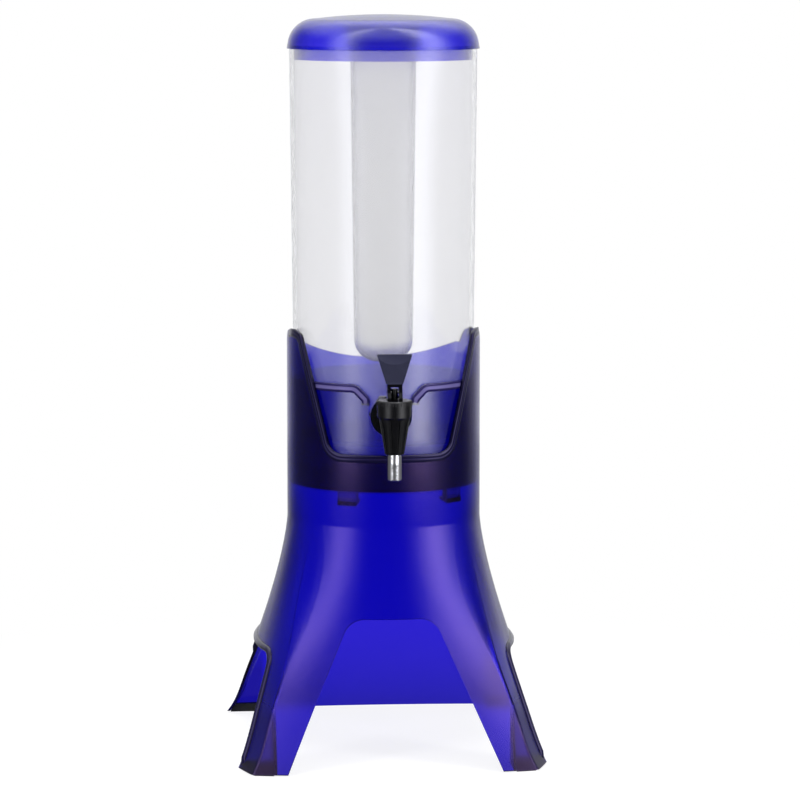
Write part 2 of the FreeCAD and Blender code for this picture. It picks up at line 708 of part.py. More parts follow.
def make_seat_cup():
    """The soft cup on the stem's foot that closes the outlet."""
    fit = d.running_gap / 2
    rim = d.stem_disc_radius + d.seat_cup_rim
    foot, top = seat_height + d.running_gap, seat_height + d.seat_cup_height
    hollow_foot, hollow_top = disc_foot - fit, disc_foot + d.stem_disc_height + fit
    return at_tap(turned("seat_cup", [
        (0, foot), (rim, foot), (rim, foot + 2), (rim - 1, top), (d.stem_radius + fit, top),
        (d.stem_radius + fit, hollow_top), (d.stem_disc_radius + fit, hollow_top),
        (d.stem_disc_radius + fit, hollow_foot), (0, hollow_foot)]))


def make_return_spring():
    """The compression spring between the stem's collar and the bonnet."""
    wire, gap = float(d.spring_wire) / 2, float(d.seat_gap)
    foot = float(collar_foot + d.stem_collar_height) + wire + gap
    height = float(bonnet_ceiling) - wire - gap - foot
    radius = float(d.spring_radius)
    helix = Part.makeLongHelix(height / float(d.spring_turns), height, radius)
    coil = Part.BRepOffsetAPI.MakePipeShell(Part.Wire(helix.Edges))
    coil.setFrenetMode(True)
    coil.add(Part.Wire(Part.makeCircle(wire, V(radius, 0, 0), Y_AXIS)))
    coil.build()
    coil.makeSolid()
    spring = doc.addObject("Part::Feature", "return_spring")
    spring.Shape = coil.shape().translated(V(0, -float(tap_reach), foot))
    return spring


def make_lever_pin():
    length = d.lever_neck_width - 0.4
    return rod("lever_pin", d.pin_radius, length, x=-length / 2, y=-tap_reach,
               z=pin_height, along=X_AXIS)


def make_tap_lever():
    """The paddle lever: forked neck whose toe rides on the bonnet, and a scooped paddle."""
    foot, half, paddle_top = bonnet_top + d.lever_gap, d.paddle_thickness / 2, (
        paddle_foot + d.paddle_height)
    neck = prism("lever_neck", [
        (-tap_reach - d.lever_toe, foot), (-tap_reach + d.lever_heel, foot),
        (-tap_reach + d.lever_heel, pin_height), (-tap_reach + half, paddle_foot + 1),
        (-tap_reach - half, paddle_foot + 1), (-tap_reach - d.lever_heel, pin_height),
        (-tap_reach - d.lever_toe, foot + 2)],
        -d.lever_neck_width / 2, d.lever_neck_width / 2, "X")
    paddle = prism("lever_paddle", [
        (-d.paddle_foot_width / 2, paddle_foot), (d.paddle_foot_width / 2, paddle_foot),
        (d.paddle_top_width / 2, paddle_top), (-d.paddle_top_width / 2, paddle_top)],
        -tap_reach - half, half - tap_reach)
    slot_half = d.stem_radius + d.loose_gap
    slot_top = pin_height + d.stem_radius * 1.45 + d.loose_gap
    slot = prism("lever_slot", [
        (-slot_half, foot - 1), (slot_half, foot - 1), (slot_half, slot_top),
        (-slot_half, slot_top)],
        -tap_reach - d.lever_toe - 1, d.lever_heel + 1 - tap_reach)
    pin_hole = rod("lever_pin_hole", d.pin_radius + d.running_gap, 2 * d.lever_neck_width,
                   x=-d.lever_neck_width, y=-tap_reach, z=pin_height, along=X_AXIS)
    scoop = bind(doc.addObject("Part::Sphere", "scoop"), Radius=d.scoop_radius)
    centre = root(d.scoop_radius * d.scoop_radius - d.scoop_above * d.scoop_above)
    lift(scoop, y=-tap_reach - half - centre + d.scoop_depth, z=paddle_top + d.scoop_above)
    return cut("tap_lever", fused("lever_blank", neck, paddle),
               fused("lever_cuts", slot, pin_hole, scoop))


# ---------------------------------------------------------------- lid and ice tube
def make_lid_cap():
    """The domed lid: flange on the tank's rim, plug ring inside it, socket for the ice tube."""
    rim, wall = d.tank_rim_height, d.lid_wall
    flange, top = rim + d.seat_gap, rim + d.lid_rise
    plug = tank_rim_radius - d.tank_wall - d.loose_gap
    crown, dome_radius = lid_radius - d.lid_crown_inset, d.lid_crown_radius
    under, under_radius = top - wall, dome_radius - wall
    shoulder, shoulder_foot = lid_radius - d.lid_draft, top - d.lid_shoulder_drop
    crown_edge = top - dome_radius + root(dome_radius * dome_radius - crown * crown)
    under_edge = under - under_radius + root(under_radius * under_radius - crown * crown)
    dome = turned("lid_dome", [
        (plug - d.plug_wall, rim - d.plug_depth), (plug, rim - d.plug_depth), (plug, flange),
        (lid_radius, flange), (shoulder, shoulder_foot, -d.lid_shoulder_radius),
        (crown, crown_edge, -dome_radius), (0, top), (0, under, under_radius),
        (crown, under_edge, d.lid_shoulder_radius - wall),
        (shoulder - wall, shoulder_foot), (lid_radius - wall, flange + wall),
        (plug - d.plug_wall, flange + wall)])
    inner = d.ice_top_radius + d.running_gap
    stop, rise = ice_top + d.seal_height + 2 * d.running_gap, top - wall / 2 - 1
    socket_foot = ice_top - d.socket_depth
    socket = turned("ice_socket", [
        (inner - d.ice_wall, stop), (inner, stop), (inner, socket_foot),
        (inner + d.socket_wall, socket_foot), (inner + d.socket_wall, rise),
        (inner - d.ice_wall, rise)])
    return fused("lid_cap", dome, socket)


def make_ice_tube_seal():
    outer, foot = d.ice_top_radius - d.running_gap, ice_top + d.running_gap
    return turned("ice_tube_seal", [
        (outer - d.ice_wall, foot), (outer, foot), (outer, foot + d.seal_height),
        (outer - d.ice_wall, foot + d.seal_height)])


def make_ice_tube():
    """The closed tube for ice that hangs in the drink from the lid's socket."""
    foot, wall = tank_floor + d.ice_floor_gap, d.ice_wall
    outer, corner = d.ice_top_radius - d.ice_draft, d.ice_foot_corner
    return turned("ice_tube", [
        (d.ice_top_radius - wall, ice_top), (outer - wall, foot + corner, corner - wall),
        (outer - corner, foot + wall), (0, foot + wall), (0, foot),
        (outer - corner, foot, -corner), (outer, foot + corner), (d.ice_top_radius, ice_top)])


# ---------------------------------------------------------------- build and write
NODES = [
    make_base_shell(), make_foot_pads(), make_cradle_cup(), make_tank_tube(),
    make_outer_washer(), make_inner_washer(), make_shank_nut(), make_tap_body(),
    make_spout_tube(), make_tap_bonnet(), make_stem_seal(), make_tap_stem(), make_seat_cup(),
    make_return_spring(), make_lever_pin(), make_tap_lever(), make_lid_cap(),
    make_ice_tube_seal(), make_ice_tube(),
]
doc.recompute()

for thing in doc.Objects:
    troubles = {"Invalid", "Error"} & set(thing.State)
    if troubles:
        raise RuntimeError(f"{thing.Label}: {thing.State}")
for node in NODES:
    shape = node.Shape
    if shape.isNull() or not shape.isValid():
        raise RuntimeError(f"{node.Label} has no valid shape")
    shape.exportStep(f"parts/{node.Label}.step")
    print(f"{node.Label:16s} {shape.Volume / 1000:8.2f} cm3  {len(shape.Solids)} solid(s)")
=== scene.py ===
# %% [markdown]
# # A beer tower, finished in Blender
# The tower's solids come packed from the CAD step, in metres, with the tap towards -Y and the
# floor at z = 0. This lesson gives them a studio, a camera and finishes: translucent blue
# mouldings, a clear tank, a black tap with a bright spout. Then it adds what the solids leave
# out: the lips round the tap's bay and the side arches, the rims of the cup, the grip ribs of
# the bonnet, and a rigid copy of the spring. The solids' own meshes stay as they come.

import math

import bmesh
import bpy
from mathutils import Matrix, Vector
from mathutils.bvhtree import BVHTree


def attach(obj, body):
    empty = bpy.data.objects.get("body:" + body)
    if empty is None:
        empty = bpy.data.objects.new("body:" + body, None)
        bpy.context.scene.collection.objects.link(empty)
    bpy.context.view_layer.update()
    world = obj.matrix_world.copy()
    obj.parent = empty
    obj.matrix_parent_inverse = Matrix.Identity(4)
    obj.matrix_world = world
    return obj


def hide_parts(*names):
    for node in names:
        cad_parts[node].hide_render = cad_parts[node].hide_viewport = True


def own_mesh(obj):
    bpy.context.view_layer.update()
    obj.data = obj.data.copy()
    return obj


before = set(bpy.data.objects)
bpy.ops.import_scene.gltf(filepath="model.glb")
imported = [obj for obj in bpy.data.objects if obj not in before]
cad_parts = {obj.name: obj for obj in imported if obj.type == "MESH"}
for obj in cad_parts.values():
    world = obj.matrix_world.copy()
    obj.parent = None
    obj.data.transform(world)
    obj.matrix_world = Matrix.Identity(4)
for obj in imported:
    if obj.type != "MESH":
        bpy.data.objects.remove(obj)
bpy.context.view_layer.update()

# %% [markdown]
# ## The camera
# A product shot of something tall is taken from a few paces away with a long lens, so that
# upright edges stay upright. The camera stands a little above the middle of the tower and a
# few degrees to one side, and looks slightly down. A constraint could aim it, but its matrix
# is built from the three directions here, because that keeps every angle readable.

# %% Camera
CAMERA_TURN = math.radians(4.7)      # to the left of the tap, seen from above
CAMERA_TILT = math.radians(7.19)     # downwards
CAMERA_DISTANCE = 2.492
CAMERA_HEIGHT = 0.561
CAMERA_ASIDE = 0.0118
FOCAL_PIXELS, PICTURE_SIDE = 3524, 800
SENSOR_WIDTH = 36                    # millimetres

across = Vector((math.cos(CAMERA_TURN), -math.sin(CAMERA_TURN), 0))
ahead = Vector((math.sin(CAMERA_TURN), math.cos(CAMERA_TURN), 0))
looking = ahead * math.cos(CAMERA_TILT) - Vector((0, 0, math.sin(CAMERA_TILT)))
upwards = across.cross(looking)
place = across * CAMERA_ASIDE - ahead * CAMERA_DISTANCE + Vector((0, 0, CAMERA_HEIGHT))

camera = bpy.data.objects.new("camera", bpy.data.cameras.new("camera"))
bpy.context.scene.collection.objects.link(camera)
bpy.context.scene.camera = camera
camera.data.sensor_width = SENSOR_WIDTH
camera.data.lens = FOCAL_PIXELS / PICTURE_SIDE * SENSOR_WIDTH
camera.matrix_world = Matrix.Translation(place) @ Matrix((across, upwards, -looking)).transposed().to_4x4()
print("lens", round(camera.data.lens, 1), "mm")

# %% [markdown]
# ## Small helpers for shader trees
# Each material is a small tree of nodes. A tree can be drawn by hand in the shader editor. It
# is built by script here, so that each finish is a function of a few numbers. These helpers
# add a node, fill its sockets and link it.

# %% Adding nodes


def put(tree, kind, settings=None, **sockets):
    """Add a node; a socket's value is a plain value or another node's output. A socket is
    named with two underscores for each space, or by its number after one underscore."""
    node = tree.nodes.new(kind)
    for name, value in (settings or {}).items():
        setattr(node, name, value)
    for name, value in sockets.items():
        socket = node.inputs[int(name[1:])] if name[0] == "_" else node.inputs[name.replace("__", " ")]
        if isinstance(value, bpy.types.NodeSocket):
            tree.links.new(value, socket)
        else:
            socket.default_value = value
    return node


def maths(tree, operation, *values):
    """A Math node's answer."""
    sockets = {f"_{number}": value for number, value in enumerate(values)}
    return put(tree, "ShaderNodeMath", {"operation": operation}, **sockets).outputs[0]


def ramp(tree, value, start, end, low=0.0, high=1.0):
    """A smooth step from low to high while the value goes from start to end."""
    return put(tree, "ShaderNodeMapRange", {"interpolation_type": "SMOOTHSTEP"}, Value=value,
               From__Min=start, From__Max=end, To__Min=low, To__Max=high).outputs[0]


def axes(tree, vector):
    """The X, Y and Z of a vector."""
    return put(tree, "ShaderNodeSeparateXYZ", Vector=vector).outputs


# %% Mixing colours and shaders


def blended(tree, share, start, end):
    """The colour between two, as the share goes from 0 to 1."""
    start, end = (tone if isinstance(tone, bpy.types.NodeSocket) else (*tone, 1) for tone in (start, end))
    return put(tree, "ShaderNodeMix", {"data_type": "RGBA"}, _0=share, _6=start, _7=end).outputs["Result"]


def either(tree, share, first, second):
    """The first shader where the share is 0 and the second where it is 1."""
    return put(tree, "ShaderNodeMixShader", _0=share, _1=first.outputs[0], _2=second.outputs[0])


def turned_away(tree):
    """How far a surface turns away from the eye: 0 faces it and 1 is edge on."""
    return tree.nodes.new("ShaderNodeLayerWeight").outputs["Facing"]


# %% New groups and materials


def new_group(name, inputs, outputs):
    """An empty shader group with its named sockets; gives the group and its inputs."""
    group = bpy.data.node_groups.new(name, "ShaderNodeTree")
    for title, start in inputs.items():
        kind = "NodeSocketVector" if start is None else "NodeSocketFloat"
        socket = group.interface.new_socket(title, in_out="INPUT", socket_type=kind)
        if start is not None:
            socket.default_value = start
    for title in outputs:
        group.interface.new_socket(title, in_out="OUTPUT", socket_type="NodeSocketFloat")
    return group, group.nodes.new("NodeGroupInput").outputs


def new_material(name):
    """An empty material with its output node and object coordinates."""
    material = bpy.data.materials.new(name)
    material.use_nodes = True
    tree = material.node_tree
    tree.nodes.clear()
    output = tree.nodes.new("ShaderNodeOutputMaterial")
    here = tree.nodes.new("ShaderNodeTexCoord").outputs["Object"]
    return material, tree, output, here


def wear(nodes, material):
    """Give CAD nodes a finish."""
    for name in nodes:
        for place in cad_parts[name].material_slots:
            place.material = material
    print(material.name, "->", ", ".join(nodes))


# %% [markdown]
# ## What the gloss sees
# A product studio has two tall soft boxes, one each side of the lens, and a white wall behind
# the product. Glossy plastic shows them as long soft streaks and pale edges. Real panels with
# lamps behind them would show too, but their edges are hard, and they add light to the object.
# So the boxes are painted into the surroundings as soft bells round the compass. The table
# hides the lower half of the surroundings and has to show the same boxes, so they are a group.

# %% Soft boxes as a group
LEFT_BOX, RIGHT_BOX = (-55, 16, 0.85), (58, 19, 1.25)      # degrees round from -Y, spread, strength
LEFT_LEAN, RIGHT_LEAN = 11, -17                            # degrees that a box's foot stands round
LEAN_FROM, LEAN_TO = -0.08, -0.02                          # the direction's Z over which that ends
WALL_SHIFT, WALL_START, WALL_FULL = 12, 116, 162           # degrees

boxes, given = new_group("soft_boxes", {"Vector": None}, ("Boxes", "Wall"))
parts = axes(boxes, given["Vector"])
round_from_front = maths(boxes, "DEGREES", maths(boxes, "ARCTAN2", parts["X"],
                                                 maths(boxes, "MULTIPLY", parts["Y"], -1)))


def streak(azimuth, spread, strength, lean):
    """A soft bell round the compass."""
    shift = ramp(boxes, parts["Z"], LEAN_FROM, LEAN_TO, lean, 0.0)
    middle = maths(boxes, "ADD", azimuth, shift)
    off = maths(boxes, "DIVIDE", maths(boxes, "SUBTRACT", round_from_front, middle), spread)
    bell = maths(boxes, "EXPONENT", maths(boxes, "MULTIPLY", maths(boxes, "MULTIPLY", off, off), -1))
    return maths(boxes, "MULTIPLY", bell, strength)


both = maths(boxes, "ADD", streak(*LEFT_BOX, LEFT_LEAN), streak(*RIGHT_BOX, RIGHT_LEAN))
behind = maths(boxes, "ABSOLUTE", maths(boxes, "ADD", round_from_front, WALL_SHIFT))
put(boxes, "NodeGroupOutput", Boxes=both, Wall=ramp(boxes, behind, WALL_START, WALL_FULL))
print("soft boxes at", LEFT_BOX[0], "and", RIGHT_BOX[0], "degrees")

# %% [markdown]
# ## The studio
# To the lens, and through clear plastic, everything round the tower is white. A glossy surface
# sees the dim room with the soft boxes and the wall. Diffuse light comes from a plain pale
# surrounding and a few lamps, at a level at which a colour renders about as it is written. One
# world with a Light Path node does all three, where a real room would need walls and a ceiling.

# %% Who is looking
PURE_WHITE, COOL_WHITE = (1, 1, 1, 1), (0.95, 0.96, 1, 1)


def lookers(tree):
    """Masks for the eye, also through clear plastic, and for a glossy surface."""
    path = tree.nodes.new("ShaderNodeLightPath").outputs
    eye = maths(tree, "MAXIMUM", path["Is Camera Ray"], path["Is Transmission Ray"])
    return eye, path["Is Glossy Ray"]


def mirrored_room(tree, direction, room, box_light, wall_light):
    """How bright the room is to a glossy surface, in a direction."""
    around = put(tree, "ShaderNodeGroup", {"node_tree": boxes}, Vector=direction).outputs
    glare = maths(tree, "MULTIPLY_ADD", around["Boxes"], box_light, room)
    return maths(tree, "MULTIPLY_ADD", around["Wall"], wall_light, glare)


# %% Studio
ROOM, BOX_LIGHT, WALL_LIGHT, TOP_LIGHT = 0.13, 4.4, 0.72, 2.0
TOP_START, TOP_FULL = 0.35, 0.95     # the direction's Z over which the top light comes in
FILL_LIGHT = 0.45

scene = bpy.context.scene
scene.view_settings.view_transform = "Standard"
world = bpy.data.worlds.new("studio")
scene.world = world
world.use_nodes = True
tree = world.node_tree
tree.nodes.clear()
eye, glossy = lookers(tree)
towards = tree.nodes.new("ShaderNodeTexCoord").outputs["Generated"]
above = ramp(tree, axes(tree, towards)["Z"], TOP_START, TOP_FULL, 0.0, TOP_LIGHT)
glare = maths(tree, "ADD", mirrored_room(tree, towards, ROOM, BOX_LIGHT, WALL_LIGHT), above)
white = put(tree, "ShaderNodeBackground", Color=PURE_WHITE, Strength=1.0)
fill = put(tree, "ShaderNodeBackground", Color=COOL_WHITE, Strength=FILL_LIGHT)
mirror = put(tree, "ShaderNodeBackground", Color=COOL_WHITE, Strength=glare)
mixed = either(tree, eye, either(tree, glossy, fill, mirror), white)
put(tree, "ShaderNodeOutputWorld", Surface=mixed.outputs[0])
print("the room's light is", ROOM, "and the soft boxes' is", BOX_LIGHT)

# %% Lamps
TOWER_MIDDLE = Vector((0, 0, 0.27))
LAMPS = {"left_box": ((-1.35, -1.05, 0.7), 0.35, 1.3, 14),
         "right_box": ((1.35, -1.05, 0.7), 0.35, 1.3, 16),
         "top_box": ((0, -0.2, 1.7), 1.2, 1.0, 12),
         "rear_box": ((0, 1.7, 0.9), 1.6, 1.3, 16)}      # place, width, height, watts


def soft_box(name, at, width, height, watts):
    """A lamp aimed at the middle of the tower. Gloss and glass see the group's boxes instead."""
    data = bpy.data.lights.new(name, "AREA")
    data.shape, data.size, data.size_y, data.energy = "RECTANGLE", width, height, watts
    lamp = bpy.data.objects.new(name, data)
    scene.collection.objects.link(lamp)
    lamp.location = at
    lamp.rotation_euler = (TOWER_MIDDLE - Vector(at)).to_track_quat("-Z", "Y").to_euler()
    lamp.visible_glossy = lamp.visible_transmission = False


for name, lamp in LAMPS.items():
    soft_box(name, *lamp)
print(len(LAMPS), "lamps,", sum(lamp[-1] for lamp in LAMPS.values()), "watts")

# %% [markdown]
# ## The table
# A round white table top. The lens sees it fade into the white around it, and close to the
# tower it keeps a faint shadow. It ends less than two paces away, so a low part of the tower
# mirrors the dim table top, and a higher part mirrors the soft boxes. A plane that takes
# shadows only would be simpler, but gloss and glass wouldn't see it.

# %% Table top
TABLE_RADIUS, TABLE_CORNERS = 1.62, 96

rim = [(TABLE_RADIUS * math.cos(a), TABLE_RADIUS * math.sin(a), 0)
       for a in (2 * math.pi * n / TABLE_CORNERS for n in range(TABLE_CORNERS))]
table_mesh = bpy.data.meshes.new("table")
table_mesh.from_pydata(rim, [], [tuple(range(TABLE_CORNERS))])
table = bpy.data.objects.new("table", table_mesh)
scene.collection.objects.link(table)
print("table", 2 * TABLE_RADIUS, "m across")

# %% White table finish
TABLE_ROOM, TABLE_BOXES, TABLE_WALL = 0.11, 0.36, 0.48     # what gloss sees of the table
MATT, SHADOWED, GLOW = 0.8, 0.25, 0.84                     # what light and the eye see of it
FADE_START, FADE_END = 0.18, 0.5                           # metres from the tower's axis

material, tree, output, here = new_material("white_table")
eye, glossy = lookers(tree)
away = put(tree, "ShaderNodeVectorMath", {"operation": "LENGTH"}, _0=here).outputs["Value"]
matt = put(tree, "ShaderNodeBsdfDiffuse", Color=(MATT, MATT, MATT, 1))
pale = put(tree, "ShaderNodeBsdfDiffuse", Color=(SHADOWED, SHADOWED, SHADOWED, 1))
glow = put(tree, "ShaderNodeEmission", Color=PURE_WHITE, Strength=GLOW)
near = put(tree, "ShaderNodeAddShader", _0=pale.outputs[0], _1=glow.outputs[0])
far = put(tree, "ShaderNodeEmission", Color=PURE_WHITE, Strength=1.0)
faded = either(tree, ramp(tree, away, FADE_START, FADE_END), near, far)
gloss = put(tree, "ShaderNodeEmission", Color=COOL_WHITE,
            Strength=mirrored_room(tree, here, TABLE_ROOM, TABLE_BOXES, TABLE_WALL))
shown = either(tree, eye, either(tree, glossy, matt, gloss), faded)
tree.links.new(shown.outputs[0], output.inputs["Surface"])
table_mesh.materials.append(material)
print("the table fades to white", FADE_END, "m away")

# %% [markdown]
# ## Moulded skin
# No moulding is perfectly smooth. A faint waviness bends the highlights, and very fine marks
# break up the gloss. An image could hold them, but noise needs no unwrapping and no file.
# Every plastic here uses the same two effects, so they are one node group that puts out a
# height for a Bump node and a roughness.

# %% Skin group
WAVES, MARKS = 60.0, 900.0           # noise scales, on metres
ROUGHNESS, SPREAD, SKIN_DEPTH = 0.05, 0.04, 0.00005

skin, given = new_group("moulded_skin", {"Vector": None, "Waves": WAVES, "Marks": MARKS,
                                         "Roughness": ROUGHNESS, "Spread": SPREAD}, ("Height", "Rough"))
waves = put(skin, "ShaderNodeTexNoise", Vector=given["Vector"], Scale=given["Waves"], Detail=1.0)
marks = put(skin, "ShaderNodeTexNoise", Vector=given["Vector"], Scale=given["Marks"], Detail=3.0)
rough = maths(skin, "MULTIPLY_ADD", marks.outputs["Fac"], given["Spread"], given["Roughness"])
put(skin, "NodeGroupOutput", Height=waves.outputs["Fac"], Rough=rough)
print("the skin is", round(1e6 * SKIN_DEPTH), "micrometres deep")

# %% Skin and drift in a material


def skinned(tree, here, roughness, spread=SPREAD, waves=WAVES, marks=MARKS, depth=SKIN_DEPTH):
    """Place the skin group and a Bump node; gives the roughness and the normal."""
    group = put(tree, "ShaderNodeGroup", {"node_tree": skin}, Vector=here, Waves=waves,
                Marks=marks, Roughness=roughness, Spread=spread)
    bump = put(tree, "ShaderNodeBump", Height=group.outputs["Height"], Strength=1.0, Distance=depth)
    return group.outputs["Rough"], bump.outputs["Normal"]


def drift(tree, here, low, high, scale=9.0, detail=2.0):
    """A colour that wanders between two tones."""
    noise = put(tree, "ShaderNodeTexNoise", Vector=here, Scale=scale, Detail=detail)
    return blended(tree, noise.outputs["Fac"], low, high)


# %% [markdown]
# ## Translucent blue
# The stand, the cup and the lid are moulded in a blue that passes only blue light. A tint in
# the surface alone looks the same at any thickness, and a tint in the depth alone needs many
# bounces to show. So part of it is in the surface colour and part in a Volume Absorption: a
# thick rim, or a look along the wall, is darker than a look straight through it.

# %% Where the stand is painted darker, and deeper at its edges
# Painted shade: the foot, heel, toe and collar tones darken the stand where it lies in shade; the edge tone
# is a deeper tint where a look runs along the wall.
FOOT_SHADE, EDGE_TONE, HEEL_SHADE = (0.10, 0.12, 0.50), (0.14, 0.08, 0.32), (0.14, 0.11, 0.42)
TOE_SHADE, COLLAR_SHADE = (0.10, 0.08, 0.26), (0.20, 0.17, 0.32)
FOOT_SPAN = (-0.02, 0.1)                                 # up from the floor
TOE_OUT, TOE_UP, HEEL_BACK = (0.081, 0.085), (0.03, 0.06), (-0.02, 0.02)
COLLAR_UP, COLLAR_BACK = (0.188, 0.194), (-0.03, 0.01)
COLLAR_TURN, COLLAR_SIDE = (0.45, 0.85), 0.35            # the collar's tone thins out at its sides
EDGE_TURN, EDGE_SHARE, EDGE_UP = (0.3, 0.75), 0.9, (0.165, 0.19)


def painted_shade_and_depth(tree, here, tone):
    """Painted shade: the stand's tone is darker towards the floor, in the toes and heels, and in
    the front of the collar. Along its edges below the collar it is darker because a look along
    the wall crosses more of the moulding; gives the tone and the mask of the toes."""
    along, back, up = axes(tree, here)[:3]
    corner = maths(tree, "MULTIPLY", ramp(tree, maths(tree, "ABSOLUTE", along), *TOE_OUT),
                   ramp(tree, up, *TOE_UP, 1.0, 0.0))
    heel = maths(tree, "MULTIPLY", corner, ramp(tree, back, *HEEL_BACK))
    toe = maths(tree, "SUBTRACT", corner, heel)
    turned = turned_away(tree)
    collar = maths(tree, "MULTIPLY", ramp(tree, up, *COLLAR_UP), ramp(tree, back, *COLLAR_BACK, 1.0, 0.0))
    collar = maths(tree, "MULTIPLY", collar, ramp(tree, turned, *COLLAR_TURN, 1.0, COLLAR_SIDE))
    edge = maths(tree, "MULTIPLY", ramp(tree, turned, *EDGE_TURN, 0.0, EDGE_SHARE),
                 ramp(tree, up, *EDGE_UP, 1.0, 0.0))
    foot = ramp(tree, up, *FOOT_SPAN, 1.0, 0.0)
    # Each painted shade tone, and the edge's deeper tint, goes over the drifting tone.
    for share, deep in ((foot, FOOT_SHADE), (edge, EDGE_TONE), (heel, HEEL_SHADE), (toe, TOE_SHADE),
                        (collar, COLLAR_SHADE)):
        tone = blended(tree, share, tone, deep)
    return tone, toe


# %% Translucent plastic
WALL = 0.0022                        # a moulded wall, in metres
TOE_ROUGHNESS, COAT_ROUGHNESS = 0.2, 0.05
RIM_TURN, RIM_SHARE = (0.4, 0.9), 0.8


def translucent(name, low, high, per_wall, roughness, glance, ior=1.5, paint_shade_and_depth=False, rim=None,
                polish=0.0):
    """A tinted clear plastic: the surface's two tones, what one wall passes, the tint of what
    it mirrors, a deeper tone for its edges and a polished coat."""
    material, tree, output, here = new_material(name)
    rough, normal = skinned(tree, here, roughness)
    tone = drift(tree, here, low, high)
    # Painted shade on the stand, and a deeper tint along its edges.
    if paint_shade_and_depth:
        tone, toe = painted_shade_and_depth(tree, here, tone)
        rough = maths(tree, "MULTIPLY_ADD", toe, TOE_ROUGHNESS, rough)
    if rim:
        tone = blended(tree, ramp(tree, turned_away(tree), *RIM_TURN, 0.0, RIM_SHARE), tone, rim)
    surface = put(tree, "ShaderNodeBsdfPrincipled", Base__Color=tone, Roughness=rough, IOR=ior,
                  Transmission__Weight=1.0, Normal=normal, Specular__Tint=(*glance, 1),
                  Coat__Weight=polish, Coat__Roughness=COAT_ROUGHNESS)
    taken = [-math.log(share) / WALL for share in per_wall]
    most = max(taken)
    depth = put(tree, "ShaderNodeVolumeAbsorption",
                Color=(*[1 - share / most for share in taken], 1), Density=most)
    tree.links.new(surface.outputs[0], output.inputs["Surface"])
    tree.links.new(depth.outputs[0], output.inputs["Volume"])
    print(name, "passes", per_wall, "per wall")
    return material


# %% Stand, cup and lid
wear(["base_shell"], translucent(
    "stand_blue", (0.25, 0.16, 0.92), (0.29, 0.19, 0.95), per_wall=(0.05, 0.04, 0.73),
    roughness=0.14, glance=(0.68, 0.44, 1.0), paint_shade_and_depth=True))
wear(["cradle_cup"], translucent(
    "cup_blue", (0.32, 0.24, 0.93), (0.37, 0.28, 0.97), per_wall=(0.09, 0.06, 0.66),
    roughness=0.06, glance=(1, 0.98, 1), ior=1.66))
wear(["lid_cap"], translucent(
    "lid_blue", (0.54, 0.50, 0.99), (0.59, 0.55, 1.0), per_wall=(0.32, 0.28, 0.95),
    roughness=0.22, glance=(0.7, 0.7, 0.8), rim=(0.34, 0.28, 0.60), polish=0.5))

# %% [markdown]
# ## Clear plastic
# The tank is clear and hard, and the ice tube is a little frosted. Glass with no tint at all
# would vanish against a white room. So both keep a trace of grey and of haze, and the frost
# is roughness, which blurs what is seen through it.

# %% Tank and ice tube
CLEAR_IOR, CLEAR_WAVES, CLEAR_DRIFT, CLEAR_LIFT = 1.49, 35.0, 6.0, 1.02


def clear(name, tint, roughness, spread, through, glance):
    """Clear plastic with a trace of haze."""
    material, tree, output, here = new_material(name)
    tone = drift(tree, here, tint, [min(1, c * CLEAR_LIFT) for c in tint], CLEAR_DRIFT)
    rough, normal = skinned(tree, here, roughness, spread, waves=CLEAR_WAVES)
    surface = put(tree, "ShaderNodeBsdfPrincipled", Base__Color=tone, Roughness=rough, IOR=CLEAR_IOR,
                  Transmission__Weight=through, Normal=normal, Specular__Tint=(*glance, 1))
    tree.links.new(surface.outputs[0], output.inputs["Surface"])
    return material


wear(["tank_tube"], clear("tank_clear", (0.96, 0.96, 0.975), roughness=0.02, spread=0.03,
                          through=0.92, glance=(0.8, 0.8, 0.86)))
wear(["ice_tube"], clear("ice_clear", (0.98, 0.98, 0.99), roughness=0.22, spread=0.05,
                         through=0.96, glance=(0.35, 0.35, 0.4)))

# %% [markdown]
# ## Black plastic, rubber and metal
# The tap is glossy black with a bright metal spout. Its lever is satin on the paddle, where a
# thumb needs grip, and polished below it. The washers and pads are dull rubber, and the
# seals inside are milky silicone. One function makes them all, because they differ only in
# tone, roughness and metal. The lever takes one material with a mask by height, because its
# mesh stays as it came.

# %% Solid finish
GRAIN, GRAIN_DEPTH, GRAIN_DETAIL = 900.0, 0.00003, 4.0
PADDLE_FOOT, FOOT_BLEND = 0.2700, 0.0005
POLISHED_TONE, POLISHED_SHARE = (0.0015, 0.0015, 0.0025), 0.25


def solid(name, dark, light, roughness, spread=0.1, metal=0.0, gloss_below=None, mirror=0.5):
    """An opaque finish with grain; it is polished below a height, where one is given."""
    material, tree, output, here = new_material(name)
    rough, normal = skinned(tree, here, roughness, spread, GRAIN / 5, GRAIN, GRAIN_DEPTH)
    tone = drift(tree, here, dark, light, GRAIN / 4, GRAIN_DETAIL)
    if gloss_below:
        satin = ramp(tree, axes(tree, here)["Z"], gloss_below - FOOT_BLEND, gloss_below + FOOT_BLEND)
        share = maths(tree, "MULTIPLY_ADD", satin, 1 - POLISHED_SHARE, POLISHED_SHARE)
        rough = maths(tree, "MULTIPLY", rough, share)
        tone = blended(tree, satin, POLISHED_TONE, tone)
    surface = put(tree, "ShaderNodeBsdfPrincipled", Base__Color=tone, Roughness=rough,
                  Metallic=metal, Normal=normal, Specular__IOR__Level=mirror)
    tree.links.new(surface.outputs[0], output.inputs["Surface"])
    return material


